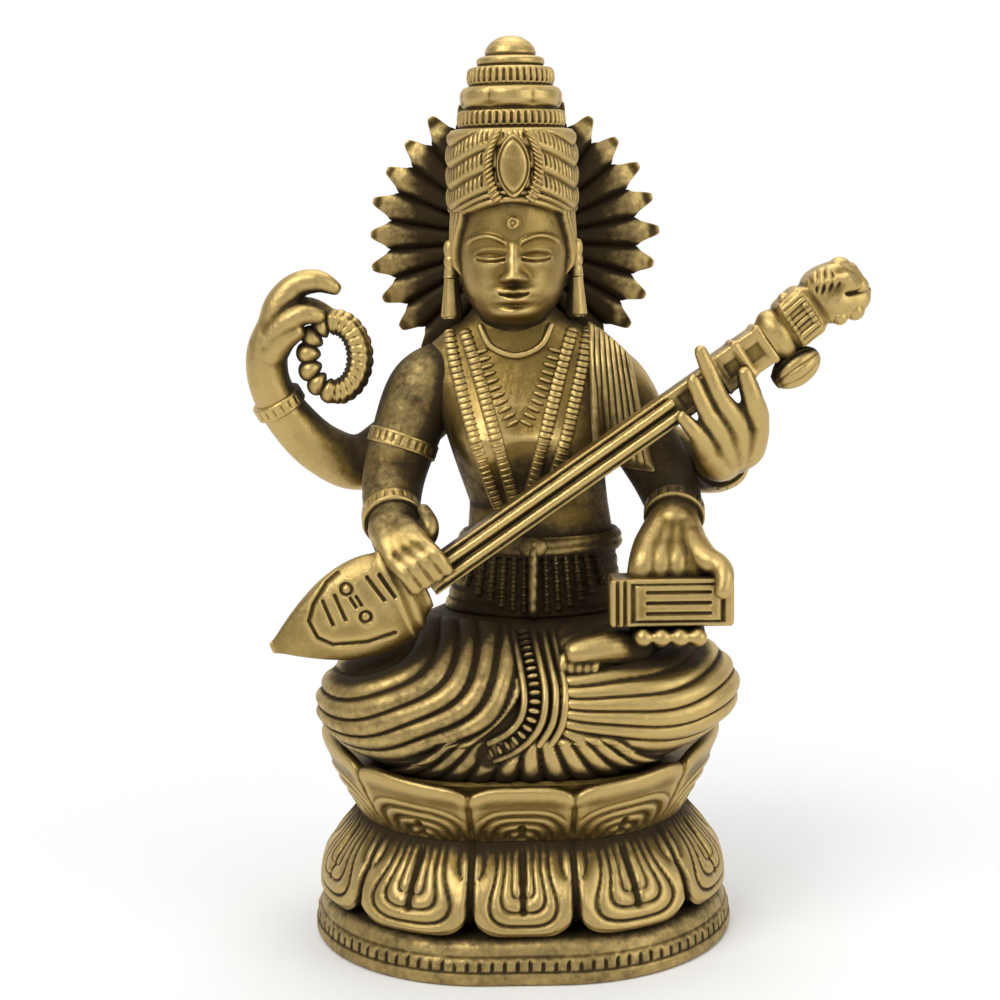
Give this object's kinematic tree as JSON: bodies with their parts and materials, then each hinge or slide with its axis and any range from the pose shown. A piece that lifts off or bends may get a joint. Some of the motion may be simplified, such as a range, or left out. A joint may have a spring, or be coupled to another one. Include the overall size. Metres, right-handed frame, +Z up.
{
  "type": "seated deity statuette",
  "caption": "Small cast brass statuette of a four-armed seated goddess with a long lute, rosary and book, crown and rayed halo, on a tiered lotus and notched oval base",
  "frame": {"origin": "middle of the underside of the oval base, on the plane it stands on", "axes": "+Z up, the figure faces -Y, +X is the viewer's right"},
  "size_m": [0.0945, 0.056, 0.14],
  "materials": {
    "figure_brass": "antique cast brass, dark in the folds and rubbed bright on the high places",
    "base_brass": "antique cast brass, chased petals with dark grooves",
    "trim_brass": "rubbed bright brass beads and bands",
    "stud_brass": "plain turned brass"
  },
  "bodies": {
    "root": {"plinth": "base_brass", "lower_drum": "base_brass", "lower_petals": "base_brass", "seat": "base_brass", "upper_petals": "base_brass", "seat_stud": "stud_brass", "lap": "figure_brass", "left_foot": "figure_brass", "waist_stud": "stud_brass", "torso": "figure_brass", "necklaces": "trim_brass", "girdle": "trim_brass", "neck_stud": "stud_brass", "head": "figure_brass", "right_earring": "trim_brass", "left_earring": "trim_brass", "crown": "figure_brass", "crown_medallion": "trim_brass", "halo": "figure_brass", "halo_rivet": "stud_brass", "veena_gourd": "figure_brass", "veena_neck": "figure_brass", "veena_strings": "trim_brass", "veena_head": "figure_brass", "veena_small_gourd": "figure_brass", "right_front_arm": "figure_brass", "right_armlet": "trim_brass", "right_front_bangle": "trim_brass", "right_rear_arm": "figure_brass", "right_rear_bangle": "trim_brass", "rosary": "trim_brass", "left_front_arm": "figure_brass", "left_front_bangle": "trim_brass", "left_rear_arm": "figure_brass", "left_rear_bangle": "trim_brass", "shoulder_drape": "figure_brass", "book": "figure_brass"}
  },
  "joints": []
}
